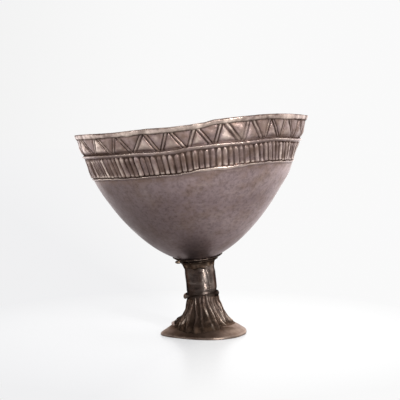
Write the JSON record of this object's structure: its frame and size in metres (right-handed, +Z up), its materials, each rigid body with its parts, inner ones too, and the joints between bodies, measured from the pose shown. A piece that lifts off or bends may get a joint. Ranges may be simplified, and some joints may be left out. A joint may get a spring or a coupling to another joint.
{
  "type": "footed bowl",
  "caption": "Deep footed bowl of tarnished sheet silver with a bent rim, two worked friezes, a rolled stem and a gathered, fluted foot on a conical base.",
  "frame": {"origin": "on the floor, at the middle of the round foot", "axes": "+Z up; +X to the side where the bent rim is highest; -Y to the side that faces the viewer in the picture"},
  "size_m": [0.1661, 0.1668, 0.1575],
  "materials": {
    "silver_bowl": "old raised silver with a warm grey-purple tarnish, worn bright on the high points",
    "silver_stem": "dark tarnished hammered silver with greenish-grey and silvery highlights",
    "silver_foot": "dark brown tarnished silver with a pinkish brown bloom on the flange",
    "solder": "dull old solder"
  },
  "bodies": {
    "root": {"foot_flange": "silver_foot", "foot_solder": "solder", "foot_skirt": "silver_foot", "stem_tube": "silver_stem", "collar_ring": "silver_stem", "stem_solder": "solder", "seat_disc": "silver_stem", "solder_drip": "solder", "seat_solder": "solder", "bowl_shell": "silver_bowl", "rim_strip": "silver_bowl"}
  },
  "joints": []
}
